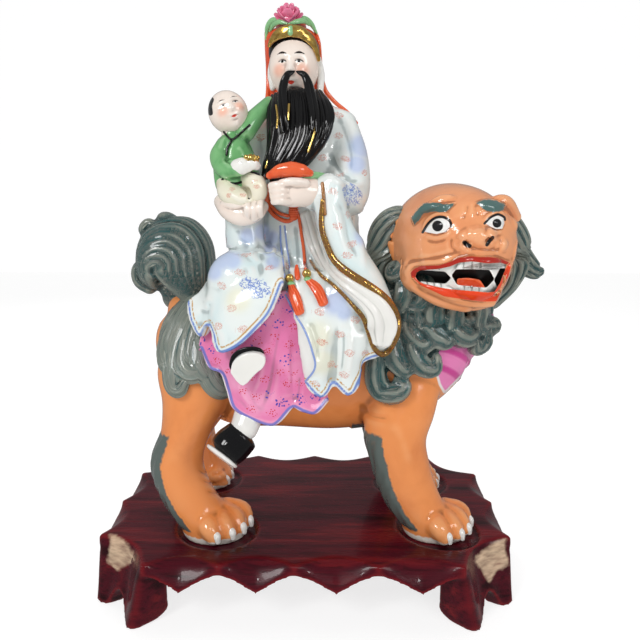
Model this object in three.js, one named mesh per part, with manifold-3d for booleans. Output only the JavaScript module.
// A porcelain rider with a child, sitting sideways on a lion, on a carved rosewood stand.
// Millimetres, +Z up, the viewer's side is -Y and the lion faces +X.
import * as THREE from 'three';
import { mergeVertices } from 'three/addons/utils/BufferGeometryUtils.js';
import Module from 'manifold-3d';

const wasm = await Module();
wasm.setup();

// Stand sizes.
const STAND_TOP = 51;
const BOARD_THICKNESS = 8;
const FRONT_TIP_Y = 102;
const SIDE_TIP_X = 163;
const SIDE_TIP_SPACING = 58.4;
const SCALLOP_DEPTH = 12;
const PENDANT_DROP = 8;
const PENDANT_BULGE = 3.5;
const RECESS_DEPTH = 3;
const RECESS_LENGTH = 68;
const RECESS_WIDTH = 60;
const LEG_ARCH = 24;

// Tips of the long edges, from left to right, and the scallops that lie over the legs.
const FRONT_TIPS_X = [-117, -61, -6, 55, 118];
const BACK_TIPS_X = [-112, -53, 5.5, 64, 122];
const CORNER_SCALLOPS = [4, 7, 12, 15];

// Lion sizes.
const REST_GAP = 0.3;
const PAW_FLOOR = STAND_TOP - RECESS_DEPTH + REST_GAP;
const PAW_YAW = -40;
const TOE_SPACING = 11.5;
const HEAD_CENTRE = [113, -26, 276];
const HEAD_YAW = 9;
const EYE_SPACING = 44;
const NOSE_WIDTH = 24;
const MOUTH_HALF_WIDTH = 33;
const MOUTH_HALF_HEIGHT = 9;
const MOUTH_DEPTH = 34;

// Rider sizes.
const HEAD_RADII = [17, 19, 24];
const RIDER_HEAD = [-7, -9, 402];
const FLOWER = [-9, -13, 441];
const PETALS = 7;
const CLOTH = 6;

const FACET_TOLERANCE = 1.6;
const TWIN_GAP = 0.05;
const DEGREE = Math.PI / 180;

// A smooth curve through the points.
function curve(points) {
  const places = points.map(([x, y, z]) => new THREE.Vector3(x, y, z));
  return new THREE.CatmullRomCurve3(places, false, 'catmullrom', 0.5);
}

// The two axes of a section: in a fixed plane, or square to the path.
function sectionAxes(tangent, plane) {
  if (plane === 'yz') {
    return [new THREE.Vector3(0, 1, 0), new THREE.Vector3(0, 0, 1)];
  }
  if (plane === 'xy') {
    return [new THREE.Vector3(1, 0, 0), new THREE.Vector3(0, 1, 0)];
  }
  const upright = Math.abs(tangent.z) > 0.9;
  const hint = upright ? new THREE.Vector3(0, -1, 0) : new THREE.Vector3(0, 0, 1);
  const side = new THREE.Vector3().crossVectors(tangent, hint).normalize();
  const up = new THREE.Vector3().crossVectors(side, tangent).normalize();
  return [side, up];
}

// A closed form through stations of [x, y, z, half width, half height].
function loft(stations, options = {}) {
  const { around = 7, rings = 6, plane = 'free', cap = 0.4, relief = () => 1 } = options;
  const path = curve(stations);
  const sizes = curve(stations.map((station) => [station[3], station[4], 0]));
  const geometry = new THREE.SphereGeometry(1, around, rings);
  const position = geometry.attributes.position;
  for (let ring = 0; ring <= rings; ring += 1) {
    const t = Math.min(Math.max((ring - 1) / (rings - 2), 0), 1);
    const pole = ring === 0 ? -1 : Number(ring === rings);
    const tangent = path.getTangent(t);
    const size = sizes.getPoint(t);
    const [side, up] = sectionAxes(tangent, plane);
    const centre = path.getPoint(t);
    centre.addScaledVector(tangent, pole * cap * Math.min(size.x, size.y));
    for (let step = 0; step <= around; step += 1) {
      const angle = 2 * Math.PI * (step % around) / around;
      const grow = pole === 0 ? relief(t, angle) : 0;
      const place = centre.clone();
      place.addScaledVector(side, grow * size.x * Math.cos(angle));
      place.addScaledVector(up, grow * size.y * Math.sin(angle));
      position.setXYZ(ring * (around + 1) + step, place.x, place.y, place.z);
    }
  }
  return geometry;
}

// An ellipsoid, with a relief that depends on its turn from 0 to 1 and its rise from 0 to 1.
function ball([x, y, z], [rx, ry, rz], options = {}) {
  const { around = 8, rings = 5, relief = () => 1 } = options;
  const geometry = new THREE.SphereGeometry(1, around, rings);
  const position = geometry.attributes.position;
  for (let index = 0; index < position.count; index += 1) {
    const turn = (index % (around + 1)) % around / around;
    const rise = Math.floor(index / (around + 1)) / rings;
    const grow = rise % 1 === 0 ? 1 : relief(turn, rise);
    position.setXYZ(
      index,
      x - rx * grow * position.getX(index),
      y - ry * grow * position.getZ(index),
      z + rz * grow * position.getY(index),
    );
  }
  return geometry;
}

// A draped cloth, modelled solid against what it covers, hung on ribs of [top x, y, z, hem x, y, z].
function drape(ribs, options = {}) {
  const { rows = 3, bulge = 6, backing = 20, out = [0, -1, 0] } = options;
  const columns = Math.round(1.25 * (ribs.length - 1));
  const topLine = curve(ribs.map((rib) => rib.slice(0, 3)));
  const hemLine = curve(ribs.map((rib) => rib.slice(3)));
  const outward = new THREE.Vector3(...out).normalize();
  const geometry = new THREE.BoxGeometry(1, 1, 1, columns, rows, 1);
  const position = geometry.attributes.position;
  for (let index = 0; index < position.count; index += 1) {
    const u = position.getX(index) + 0.5;
    const v = 0.5 - position.getY(index);
    const layer = position.getZ(index) > 0 ? CLOTH / 2 : -backing;
    const place = topLine.getPoint(u).lerp(hemLine.getPoint(u), v);
    place.addScaledVector(outward, bulge * Math.sin(Math.PI * v) + layer);
    position.setXYZ(index, place.x, place.y, place.z);
  }
  return geometry;
}

// A solid whose shared corners are merged and whose faces point out.
function solid(geometry) {
  const bare = geometry.clone();
  bare.deleteAttribute('normal');
  bare.deleteAttribute('uv');
  const merged = mergeVertices(bare, 1e-3);
  const places = merged.attributes.position;
  const index = merged.index;
  const corner = [0, 1, 2].map(() => new THREE.Vector3());
  const kept = [];
  let volume = 0;
  for (let start = 0; start < index.count; start += 3) {
    const [a, b, c] = [0, 1, 2].map((step) => index.getX(start + step));
    if (a !== b && b !== c && c !== a) {
      kept.push(a, b, c);
      [a, b, c].forEach((vertex, step) => corner[step].fromBufferAttribute(places, vertex));
      volume += corner[0].dot(corner[1].clone().cross(corner[2]));
    }
  }
  if (volume < 0) {
    kept.reverse();
  }
  const vertProperties = new Float32Array(places.array);
  const triVerts = new Uint32Array(kept);
  return new wasm.Manifold(new wasm.Mesh({ numProp: 3, vertProperties, triVerts }));
}

function join(geometries) {
  return geometries.map(solid).reduce((whole, piece) => whole.add(piece));
}

// Corners of two folds that fall on one place are drawn apart, each into its own fold.
function drawApart(geometry) {
  const { position, normal } = geometry.attributes;
  const corners = Array.from({ length: position.count }, (_, index) => (
    new THREE.Vector3().fromBufferAttribute(position, index)
  ));
  const twins = new Set();
  for (let first = 0; first < corners.length; first += 1) {
    for (let second = first + 1; second < corners.length; second += 1) {
      if (corners[first].distanceToSquared(corners[second]) < TWIN_GAP ** 2) {
        twins.add(first);
        twins.add(second);
      }
    }
  }
  for (const index of twins) {
    const inward = new THREE.Vector3().fromBufferAttribute(normal, index);
    const place = corners[index].addScaledVector(inward, -TWIN_GAP);
    position.setXYZ(index, place.x, place.y, place.z);
  }
}

// The outer skin alone, without the pockets that overlapping forms shut in.
function toGeometry(manifold) {
  const pieces = manifold.simplify(FACET_TOLERANCE).decompose();
  const outer = pieces.reduce((best, piece) => (piece.volume() > best.volume() ? piece : best));
  const { vertProperties, triVerts } = outer.getMesh();
  const geometry = new THREE.BufferGeometry();
  geometry.setAttribute('position', new THREE.BufferAttribute(vertProperties, 3));
  geometry.setIndex(new THREE.BufferAttribute(triVerts, 1));
  geometry.computeVertexNormals();
  drawApart(geometry);
  return geometry;
}

// The same stations on the far side of the lion, drifting along it towards the last one.
function farSide(stations, drift) {
  const last = stations.length - 1;
  return stations.map(([x, y, z, ...size], step) => [
    x + drift * (step / last) ** 2, -8 - y, z, ...size,
  ]);
}

// Corners of the board's outline, in order round it.
function outlineTips() {
  const sides = [-1, 0, 1].map((step) => step * SIDE_TIP_SPACING);
  const front = FRONT_TIPS_X.map((x) => [x, -FRONT_TIP_Y]);
  const right = sides.map((y) => [SIDE_TIP_X, y]);
  const back = [...BACK_TIPS_X].reverse().map((x) => [x, FRONT_TIP_Y]);
  const left = [...sides].reverse().map((y) => [-SIDE_TIP_X, y]);
  return [...front, ...right, ...back, ...left];
}

// The board: scallops between the tips. Each one swells out into a pendant, except over a leg.
function board() {
  const tips = outlineTips();
  const steps = 4;
  const around = tips.length * steps;
  const underside = STAND_TOP - BOARD_THICKNESS;
  const rows = [
    [STAND_TOP, 0, 0, 0],
    [underside, 1, 1, 0],
    [underside, 1, 0, 9],
  ];
  const geometry = new THREE.SphereGeometry(1, around, rows.length + 1);
  const position = geometry.attributes.position;
  const place = (row, step) => {
    const scallop = Math.floor(step / steps) % tips.length;
    const [x0, y0] = tips[scallop];
    const [x1, y1] = tips[(scallop + 1) % tips.length];
    const u = (step % steps) / steps;
    const [height, fullSwell, drop, inset] = rows[row];
    const swell = CORNER_SCALLOPS.includes(scallop) ? 0 : fullSwell;
    const middle = Math.sin(Math.PI * u);
    const point = 1 - Math.abs(2 * u - 1);
    const length = Math.hypot(x1 - x0, y1 - y0);
    const [inX, inY] = [-(y1 - y0) / length, (x1 - x0) / length];
    const depth = THREE.MathUtils.lerp(SCALLOP_DEPTH, -PENDANT_BULGE, swell) * middle + inset;
    const z = height - swell * drop * PENDANT_DROP * point * point;
    return [x0 + u * (x1 - x0) + inX * depth, y0 + u * (y1 - y0) + inY * depth, z];
  };
  for (let row = 0; row <= rows.length + 1; row += 1) {
    for (let step = 0; step <= around; step += 1) {
      const wall = row > 0 && row <= rows.length;
      const spot = wall ? place(row - 1, step % around) : [0, 0, row === 0 ? STAND_TOP : underside];
      position.setXYZ(row * (around + 1) + step, ...spot);
    }
  }
  return geometry;
}

// A corner leg: a folded wall with a lobe under each of two tips and an arch between them.
function cornerLeg(sideX, sideY) {
  const line = (points) => curve(points.map(([x, y]) => [x, y, 0]));
  const outer = [
    line([[-101, -94], [-117, -100], [-131, -72], [-161, -58], [-155, -43]]),
    line([[-110, -82], [-128, -103], [-139, -80], [-164, -68], [-142, -51]]),
  ];
  const inner = [
    line([[-101, -84], [-116, -84], [-124, -64], [-145, -57], [-145, -43]]),
    line([[-117, -74], [-126, -86], [-131, -71], [-148, -67], [-134, -57]]),
  ];
  const geometry = new THREE.BoxGeometry(1, 1, 1, 8, 2, 1);
  const position = geometry.attributes.position;
  for (let index = 0; index < position.count; index += 1) {
    const u = position.getX(index) + 0.5;
    const v = 0.5 - position.getY(index);
    const [top, foot] = position.getZ(index) > 0 ? inner : outer;
    const arch = LEG_ARCH * Math.max(0, 1 - ((u - 0.5) / 0.2) ** 2);
    const place = top.getPoint(u).lerp(foot.getPoint(u), v);
    const z = THREE.MathUtils.lerp(STAND_TOP - 3, arch, v);
    position.setXYZ(index, -sideX * place.x, -sideY * place.y, z);
  }
  return geometry;
}

// The four toes of a paw.
function toes(x, y, yaw) {
  const forward = [Math.cos(yaw * DEGREE), Math.sin(yaw * DEGREE)];
  const stations = [-1.6, -0.8, 0, 0.8, 1.6].map((step) => {
    const along = 15 - 2.2 * step * step;
    const side = step * TOE_SPACING;
    return [
      x + along * forward[0] - side * forward[1],
      y + along * forward[1] + side * forward[0],
      55,
      10 - step * step,
      8.5,
    ];
  });
  const gaps = (t) => 1 - 0.22 * Math.cos(8 * Math.PI * t);
  return loft(stations, { around: 6, rings: 9, relief: gaps });
}

// The shallow well that a paw sinks into, wider than the paw.
function recess(x, y, yaw) {
  const shape = new THREE.CylinderGeometry(1, 1, 20, 14, 1);
  shape.rotateX(Math.PI / 2);
  shape.scale(RECESS_LENGTH / 2, RECESS_WIDTH / 2, 1);
  shape.rotateZ(yaw * DEGREE);
  shape.translate(x, y, STAND_TOP - RECESS_DEPTH + 10);
  return shape;
}

const PAWS = [
  [-70, -47, PAW_YAW],
  [107, -46, PAW_YAW],
  [-97, 42, 12],
  [96, 38, 8],
];

// The lion without its head.
function lionBody() {
  const trunk = [
    [-110, -4, 190, 22, 30], [-96, -4, 187, 40, 45], [-60, -4, 180, 49, 54],
    [-20, -4, 177, 47, 53], [25, -4, 176, 46, 54], [65, -5, 184, 47, 56],
    [98, -7, 194, 44, 54], [122, -9, 203, 33, 42], [135, -10, 208, 18, 26],
  ];
  const hindLeg = [
    [-80, -22, 208, 28, 24], [-82, -32, 180, 34, 28], [-84, -38, 155, 28, 25],
    [-93, -44, 131, 20, 20], [-100, -47, 110, 20, 18], [-96, -48, 90, 21, 18],
    [-87, -48, 72, 22, 19], [-76, -49, 59, 24, 20], [-73, -49, 50, 25, 21],
  ];
  const foreLeg = [
    [78, -22, 192, 30, 24], [77, -33, 166, 30, 22], [74, -40, 145, 28, 21],
    [72, -42, 125, 24, 19], [76, -43, 106, 23, 18], [81, -44, 89, 23, 18],
    [89, -45, 72, 23, 19], [100, -46, 59, 24, 20], [103, -46, 50, 25, 21],
  ];
  const leg = { plane: 'xy', around: 8, rings: 8 };
  return [
    loft(trunk, { plane: 'yz', around: 12, rings: 9 }),
    loft(hindLeg, leg),
    loft(foreLeg, leg),
    loft(farSide(hindLeg, -25), leg),
    loft(farSide(foreLeg, -8), leg),
    ball([-103, 2, 222], [18, 18, 20], { around: 7, rings: 4 }),
    ...PAWS.map((place) => toes(...place)),
  ];
}

// A point given from the middle of the lion's head: to its left, up and out of its face.
function onHead(side, up, out) {
  const [x, y, z] = HEAD_CENTRE;
  const [sin, cos] = [Math.sin(HEAD_YAW * DEGREE), Math.cos(HEAD_YAW * DEGREE)];
  return [x + side * cos + out * sin, y + side * sin - out * cos, z + up];
}

function lionHead() {
  const skull = [
    [-46, 7, 22, 24], [-34, 5, 37, 38], [-12, 2, 46, 45], [12, 0, 46, 46],
    [30, -3, 43, 44], [42, -9, 37, 37], [51, -15, 28, 26], [56, -18, 20, 18],
  ].map(([out, up, halfWidth, halfHeight]) => [...onHead(0, up, out), halfWidth, halfHeight]);
  const small = { around: 6, rings: 5 };
  const pairs = [-1, 1].flatMap((side) => [
    ball(onHead(side * EYE_SPACING / 2, 16, 43), [10, 9, 8], { around: 7, rings: 5 }),
    loft([
      [...onHead(side * 8, 29, 43), 4, 4],
      [...onHead(side * 22, 33, 41), 6, 5],
      [...onHead(side * 37, 22, 31), 4, 4],
    ], small),
    ball(onHead(side * NOSE_WIDTH / 2, 4, 55), [8, 9, 7], { around: 6, rings: 4 }),
    ball(onHead(side * 25, -4, 42), [14, 11, 12], { around: 7, rings: 5 }),
  ]);
  const bridge = loft([
    [...onHead(0, 24, 43), 8, 7], [...onHead(0, 14, 51), 9, 8], [...onHead(0, 8, 57), 10, 9],
  ], small);
  const upperLip = loft([
    [...onHead(-MOUTH_HALF_WIDTH, -20, 42), 5, 5], [...onHead(-18, -11, 52), 6, 6],
    [...onHead(0, -8, 56), 7, 6], [...onHead(18, -10, 52), 6, 6],
    [...onHead(MOUTH_HALF_WIDTH, -16, 42), 5, 5],
  ], { around: 6, rings: 7 });
  const lowerLip = loft([
    [...onHead(-MOUTH_HALF_WIDTH, -25, 42), 5, 5], [...onHead(-14, -33, 52), 7, 5],
    [...onHead(5, -36, 54), 7, 5], [...onHead(26, -34, 46), 6, 5],
  ], { around: 6, rings: 7 });
  const mouth = solid(loft([
    [...onHead(-MOUTH_HALF_WIDTH, -21, 41), MOUTH_DEPTH * 0.5, 6],
    [...onHead(-14, -21, 54), MOUTH_DEPTH * 0.6, MOUTH_HALF_HEIGHT],
    [...onHead(14, -21, 55), MOUTH_DEPTH * 0.6, MOUTH_HALF_HEIGHT],
    [...onHead(MOUTH_HALF_WIDTH, -19, 42), MOUTH_DEPTH * 0.5, 7],
  ], { around: 8, rings: 7 }));
  const chin = ball(onHead(4, -39, 42), [24, 15, 11], { around: 8, rings: 4 });
  const skullForm = loft(skull, { around: 14, rings: 10 });
  return join([skullForm, bridge, chin, upperLip, lowerLip, ...pairs]).subtract(mouth);
}

// The mane: a mass of curls in rows round the neck, long locks below it, and swept wings
// behind the ears.
function mane() {
  const curls = (turn, rise) => {
    const row = 5 * rise;
    const across = Math.cos(2 * Math.PI * (8 * turn + 0.5 * Math.floor(row)));
    return 1.02 + 0.12 * across * Math.abs(Math.sin(Math.PI * row));
  };
  const locks = [
    [[64, -46, 205], [54, -50, 188], [62, -54, 174]],
    [[78, -48, 205], [74, -53, 190], [80, -54, 180]],
    [[96, -44, 200], [90, -50, 190], [97, -52, 184]],
    [[132, -28, 218], [136, -26, 202], [132, -20, 192]],
    [[140, -14, 232], [152, -14, 224], [152, -12, 213]],
  ].map((points) => loft(points.map((place, step) => [...place, 9 + step, 8 + 0.5 * step]), {
    around: 6, rings: 5,
  }));
  const wings = [
    [[74, -22, 302, 8, 9], [63, -20, 290, 11, 12], [61, -16, 268, 12, 14], [68, -14, 244, 12, 14]],
    [[148, -6, 303, 8, 8], [161, -4, 292, 9, 12], [165, -2, 272, 10, 14], [160, 0, 252, 10, 10]],
    [[158, -2, 272, 12, 12], [176, 0, 264, 8, 8], [191, 0, 261, 2, 3]],
  ].map((stations) => loft(stations));
  const mass = ball([98, -8, 234], [46, 44, 48], { around: 14, rings: 9, relief: curls });
  return [mass, ...locks, ...wings];
}

// The combed tail, and the locks that fall over each side of the rump.
function tailAndRump() {
  const comb = (t, angle) => 1 + 0.035 * Math.cos(7 * angle + 5 * t);
  const tail = loft([
    [-104, 5, 234, 18, 14], [-103, 5, 246, 27, 23], [-108, 5, 266, 31, 29],
    [-110, 5, 284, 25, 24], [-112, 5, 295, 12, 12],
  ], { around: 12, rings: 7, plane: 'xy', relief: comb });
  const stems = [
    [-70, -28, 240, 20, 16], [-78, -38, 222, 27, 18], [-80, -42, 198, 28, 20],
    [-82, -44, 172, 22, 17],
  ];
  const flow = (t, angle) => 1 + 0.1 * t * Math.cos(6 * angle);
  const ends = [[-100, -48, 180], [-93, -56, 164], [-68, -58, 168]];
  const hair = { around: 10, rings: 6, plane: 'xy', relief: flow };
  return [
    tail,
    ball([-122, 4, 290], [8, 8, 8], { around: 6, rings: 4 }),
    ball([-131, 2, 254], [9, 10, 13], { around: 6, rings: 4 }),
    loft(stems, hair),
    loft(farSide(stems, -4), hair),
    ...ends.map((place) => ball(place, [10, 8, 11], { around: 6, rings: 4 })),
    ...farSide(ends, -4).map((place) => ball(place, [10, 8, 11], { around: 6, rings: 4 })),
  ];
}

// The rider's robed trunk, arms and sleeves.
function riderTrunk() {
  const folds = (t, angle) => 1 + 0.04 * t * Math.cos(8 * angle);
  const trunk = [
    [1, 3, 377, 24, 17], [3, 4, 364, 39, 24], [4, 5, 338, 42, 30],
    [0, 6, 304, 43, 35], [-2, 5, 270, 46, 40], [-1, 2, 240, 52, 44],
  ];
  const leftArm = [
    [28, 0, 362, 15, 16], [33, -9, 338, 17, 18], [32, -26, 315, 17, 17],
    [20, -44, 312, 14, 13], [6, -52, 314, 11, 11],
  ];
  const leftSleeve = [
    [18, -50, 318, 11, 12], [22, -54, 295, 13, 13], [32, -58, 270, 16, 14],
    [46, -64, 247, 18, 14], [57, -68, 225, 14, 11], [57, -70, 212, 9, 8],
  ];
  const rightSleeve = [
    [-28, -2, 360, 15, 17], [-41, -12, 332, 15, 18], [-46, -22, 306, 15, 18],
    [-45, -30, 282, 14, 17], [-40, -36, 262, 12, 14],
  ];
  const hands = [
    loft([[14, -54, 314, 9, 10], [-4, -57, 314, 9, 10], [-17, -57, 315, 8, 9]]),
    loft([[-28, -50, 300, 5, 5], [-42, -54, 303, 7, 9], [-56, -50, 308, 5, 6]]),
  ];
  return [
    loft(trunk, { plane: 'xy', around: 16, rings: 8, relief: folds }),
    loft(leftArm, { rings: 7 }),
    loft(leftSleeve, { rings: 8 }),
    loft(rightSleeve, { rings: 7 }),
    ...hands,
  ];
}

// Thighs, knees and shins under the cloth, the skirt, the robe's panels and the boots.
function riderLap() {
  const limbs = [
    loft([[-16, -6, 252, 26, 24], [-34, -36, 254, 26, 24], [-46, -56, 252, 23, 25]]),
    loft([[16, -6, 250, 28, 24], [24, -34, 246, 28, 24], [30, -52, 238, 25, 24]]),
    loft([[-44, -62, 168, 13, 12], [-45, -66, 144, 9, 9]], { plane: 'xy', rings: 4 }),
    loft([[-10, -58, 214, 12, 14], [-34, -70, 194, 10, 12]], { rings: 4 }),
  ];
  const kneePanel = drape([
    [-14, -50, 262, -14, -76, 241], [-26, -54, 270, -28, -80, 219],
    [-38, -56, 272, -44, -81, 206], [-50, -54, 270, -57, -79, 195],
    [-58, -48, 264, -64, -72, 205], [-64, -42, 256, -72, -67, 200],
    [-70, -34, 248, -84, -58, 222],
  ], { bulge: 9, rows: 4 });
  const sidePanel = drape([
    [-10, -56, 262, 3, -73, 180], [-2, -58, 262, 8, -77, 173], [8, -60, 260, 15, -75, 170],
    [17, -60, 258, 23, -68, 179], [26, -59, 254, 31, -73, 171], [34, -58, 250, 38, -70, 174],
    [42, -56, 244, 41, -63, 190], [50, -54, 238, 49, -65, 196], [57, -50, 232, 60, -60, 199],
    [64, -46, 224, 70, -55, 208],
  ], { bulge: 11 });
  const skirt = drape([
    [-72, -50, 222, -74, -60, 204], [-64, -54, 222, -66, -65, 190],
    [-56, -57, 224, -57, -66, 189], [-48, -59, 228, -54, -69, 172],
    [-40, -61, 232, -50, -72, 156], [-30, -62, 238, -38, -74, 147],
    [-20, -63, 244, -20, -73, 147], [-12, -62, 246, -8, -66, 159],
    [-4, -60, 240, 0, -69, 157], [4, -58, 228, 9, -67, 155], [12, -54, 212, 18, -60, 163],
  ], { bulge: 4 });
  const backPanel = drape([
    [-52, 16, 256, -72, 40, 216], [-38, 24, 264, -52, 47, 202], [-22, 31, 268, -34, 55, 208],
    [-6, 34, 270, -12, 52, 197], [10, 34, 270, 10, 58, 205], [26, 31, 267, 34, 52, 197],
    [42, 25, 260, 54, 54, 207], [58, 14, 250, 76, 42, 218],
  ], { out: [0, 1, 0] });
  const boots = [
    loft([[-31, -64, 141, 9, 10], [-44, -69, 137, 13, 13], [-57, -75, 130, 14, 13],
      [-65, -79, 126, 12, 10]]),
    loft([[-26, -68, 200, 8, 9], [-37, -73, 195, 10, 13], [-43, -78, 189, 11, 14]]),
  ];
  return [...limbs, kneePanel, sidePanel, skirt, backPanel, ...boots];
}

// The rider's head, beard, headdress with its flower, and the veil down to the shoulders.
function riderHead() {
  const beardLocks = (t, angle) => 1 + 0.08 * Math.cos(7 * angle);
  const petals = (turn) => 1 + 0.16 * Math.cos(2 * Math.PI * PETALS * turn);
  return [
    ball(RIDER_HEAD, HEAD_RADII, { around: 9, rings: 6 }),
    ball([-7, -5, 414], [20.5, 20.5, 23], { around: 9, rings: 6 }),
    loft([[-7, 6, 426, 19, 14], [-7, 6, 402, 21, 16], [-5, 5, 386, 23, 16], [0, 4, 373, 33, 19],
      [4, 4, 358, 40, 23]], { plane: 'xy', around: 10, rings: 6 }),
    loft([[-6, -28, 390, 9, 6], [-5, -33, 380, 15, 8], [-3, -39, 366, 23, 9],
      [-4, -43, 353, 22, 9], [-8, -46, 340, 18, 8], [-14, -48, 328, 12, 6],
      [-18, -49, 320, 6, 4]], { plane: 'xy', around: 12, rings: 7, relief: beardLocks }),
    loft([[-22, -54, 327, 4, 5], [-8, -58, 331, 5, 7], [8, -56, 326, 4, 4]]),
    loft([[-10, -66, 249, 4, 4], [-7, -71, 240, 5, 5], [-4, -75, 231, 5, 5]], { around: 6, rings: 5 }),
    loft([[3, -66, 252, 4, 4], [9, -71, 245, 5, 5], [13, -75, 236, 5, 5]], { around: 6, rings: 4 }),
    ball(FLOWER, [15, 9, 12], { around: 2 * PETALS, rings: 5, relief: petals }),
  ];
}

function child() {
  return [
    ball([-54, -38, 372], [15.5, 16, 15.5], { around: 9, rings: 6 }),
    loft([[-52, -37, 358, 8, 8], [-52, -37, 350, 13, 12], [-50, -38, 334, 17, 14],
      [-48, -38, 316, 17, 14]], { plane: 'xy', around: 10 }),
    loft([[-44, -34, 352, 8, 8], [-36, -30, 362, 7, 8], [-30, -26, 369, 6, 7]]),
    loft([[-62, -40, 350, 7, 8], [-64, -46, 338, 7, 8], [-50, -52, 336, 6, 7]]),
    ball([-40, -53, 342], [7, 6, 6], { around: 6, rings: 4 }),
    ball([-52, -46, 316], [13, 12, 10], { around: 7, rings: 4 }),
    ball([-34, -48, 322], [8, 8, 9], { around: 6, rings: 4 }),
  ];
}

function buildFigure() {
  const floor = new THREE.BoxGeometry(600, 400, 60);
  floor.translate(0, 0, PAW_FLOOR - 30);
  return join([...lionBody(), ...mane(), ...tailAndRump()])
    .add(lionHead())
    .add(join([...riderTrunk(), ...riderLap(), ...riderHead(), ...child()]))
    .subtract(solid(floor));
}

function buildStand() {
  const legs = [[1, 1], [1, -1], [-1, 1], [-1, -1]].map(([x, y]) => cornerLeg(x, y));
  return join([board(), ...legs]).subtract(join(PAWS.map((place) => recess(...place))));
}

function node(name, manifold, colour, roughness) {
  const material = new THREE.MeshStandardMaterial({ color: colour, roughness, metalness: 0 });
  const mesh = new THREE.Mesh(toGeometry(manifold), material);
  mesh.name = name;
  return mesh;
}

const model = new THREE.Group();
model.add(node('porcelain_figure', buildFigure(), '#d98a55', 0.15));
model.add(node('wooden_stand', buildStand(), '#460b12', 0.25));

// The origin is on the floor, under the middle of the whole object's box.
const box = new THREE.Box3().setFromObject(model);
const middle = box.getCenter(new THREE.Vector3());
model.position.set(-middle.x, -middle.y, -box.min.z);
model.updateMatrixWorld(true);

export default model;
